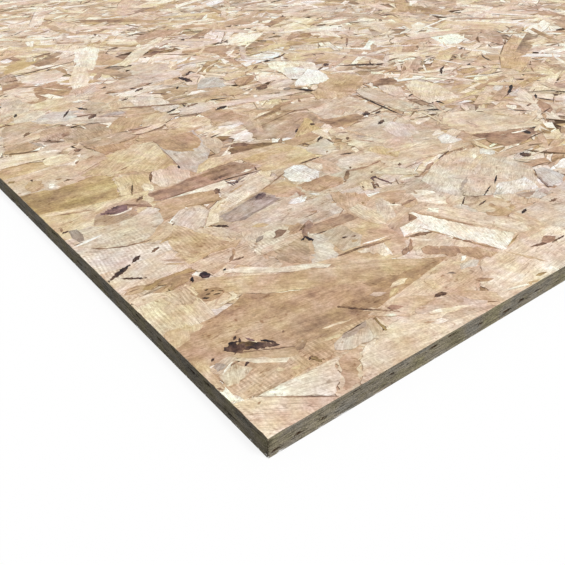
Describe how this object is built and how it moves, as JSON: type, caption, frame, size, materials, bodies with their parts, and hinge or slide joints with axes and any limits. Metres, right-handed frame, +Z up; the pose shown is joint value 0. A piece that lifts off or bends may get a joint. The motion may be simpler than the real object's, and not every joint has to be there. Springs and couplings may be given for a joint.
{
  "type": "osb panel",
  "caption": "Flat oriented strand board sheet with square sawn edges, strands laid mostly along its length.",
  "frame": {"origin": "centre of the underside, on the surface that the sheet lies on", "axes": "+X along the length, which the face strands follow; +Y along the width; +Z up out of the textured face"},
  "size_m": [2.44, 1.22, 0.015],
  "materials": {
    "strand_face": "pressed wood strands with a faint screen imprint, matt with a slight wax sheen",
    "sawn_edge": "saw-cut strand ends, matt, weathered grey-brown"
  },
  "bodies": {
    "root": {"osb_panel": "strand_face"}
  },
  "joints": []
}
